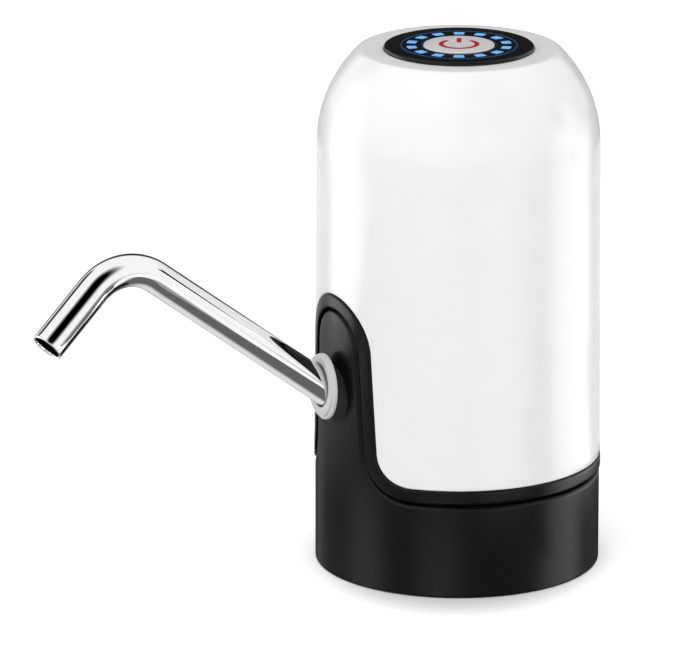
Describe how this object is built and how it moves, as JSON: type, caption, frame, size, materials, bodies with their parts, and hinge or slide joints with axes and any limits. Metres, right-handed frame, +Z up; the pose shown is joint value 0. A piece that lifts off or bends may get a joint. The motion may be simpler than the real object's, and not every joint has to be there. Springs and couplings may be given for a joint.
{
  "type": "electric water jug pump",
  "caption": "Battery water pump that sits on a bottle neck: white domed shell, black base with spout panel, bent chrome spout and a round lit power button on top.",
  "frame": {"origin": "centre of the base's underside, on the axis of the bottle socket", "axes": "+Z up along the body's axis, -Y towards the spout, +X to the right when the spout faces the viewer"},
  "size_m": [0.0702, 0.1521, 0.1295],
  "materials": {
    "shell_white": "moulded ABS, high gloss",
    "base_black": "moulded ABS, fine satin grain",
    "band_black": "moulded ABS, satin",
    "grommet_silicone": "moulded silicone, pale grey",
    "seal_silicone": "moulded silicone",
    "black_rubber": "moulded rubber",
    "clear_hose": "extruded silicone hose",
    "spout_chrome": "bright plated steel tube",
    "lens_black": "back-printed acrylic window",
    "light_blue": "light guide lit from below",
    "button_silver": "brushed plate",
    "inner_black": "moulded ABS",
    "inner_natural": "moulded acetal",
    "steel": "plated steel",
    "magnet": "sintered ferrite",
    "winding": "lacquered copper on steel laminations",
    "copper": "copper and bronze",
    "nickel": "nickel strip",
    "cell_wrap": "shrink-wrapped cell",
    "board_green": "soldered circuit board",
    "led_white": "light-emitting diodes",
    "wire": "insulated wire"
  },
  "bodies": {
    "pump_body": {"upper_shell": "shell_white", "base_housing": "base_black", "seam_band": "band_black", "spout_grommet": "grommet_silicone", "bottle_seal": "seal_silicone", "nipple_seal": "seal_silicone", "valve_flaps": "black_rubber", "diaphragm": "black_rubber", "suction_hose": "clear_hose", "delivery_hose": "clear_hose", "display_lens": "lens_black", "light_guide": "light_blue", "deck_plate": "inner_black", "spout_socket": "inner_black", "pump_stand": "inner_black", "pump_head": "inner_black", "pump_bracket": "inner_black", "battery_cradle": "inner_black", "motor_end_cap": "inner_black", "switch_body": "inner_black", "suction_nipple": "inner_natural", "valve_plate": "inner_natural", "case_screws": "steel", "pump_screws": "steel", "board_screws": "steel", "motor_can": "steel", "usb_socket": "steel", "motor_magnets": "magnet", "motor_bearings": "copper", "motor_terminals": "copper", "battery_tabs": "nickel", "battery_cell": "cell_wrap", "charge_board": "board_green", "led_board": "board_green", "led_chips": "led_white", "motor_leads": "wire", "battery_leads": "wire", "charge_leads": "wire"},
    "rotor": {"motor_shaft": "steel", "motor_armature": "winding", "commutator": "copper", "eccentric": "inner_natural"},
    "wobbler": {"wobble_plate": "inner_natural", "crank_pin": "steel"},
    "spout_rings": {"spout_o_rings": "black_rubber"},
    "spout": {"spout_tube": "spout_chrome"},
    "button": {"button_cap": "button_silver", "switch_plunger": "inner_natural"}
  },
  "joints": [
    {"name": "button_press", "type": "slide", "parent": "pump_body", "child": "button", "axis": [0, 0, -1], "range_m": [0, 0.0005], "stiffness_N_per_m": 2000},
    {"name": "spout_swivel", "type": "hinge", "parent": "pump_body", "child": "spout_rings", "pos_m": [0, -0.0365, 0.0476], "axis": [0, -0.8007, 0.599], "continuous": true},
    {"name": "spout_pull", "type": "slide", "parent": "spout_rings", "child": "spout", "axis": [0, -0.8007, 0.599], "range_m": [0, 0.022]},
    {"name": "motor_spin", "type": "hinge", "parent": "pump_body", "child": "rotor", "pos_m": [-0.0095, 0.007, 0.06], "axis": [0, 0, 1], "continuous": true, "deforming": ["diaphragm"]},
    {"name": "wobble_nutation", "type": "hinge", "parent": "rotor", "child": "wobbler", "pos_m": [-0.0095, 0.007, 0.0465], "axis": [0.1219, 0, 0.9925], "continuous": true}
  ],
  "couplings": [
    {"joint": "wobble_nutation", "follows": "motor_spin", "ratio": -1}
  ]
}
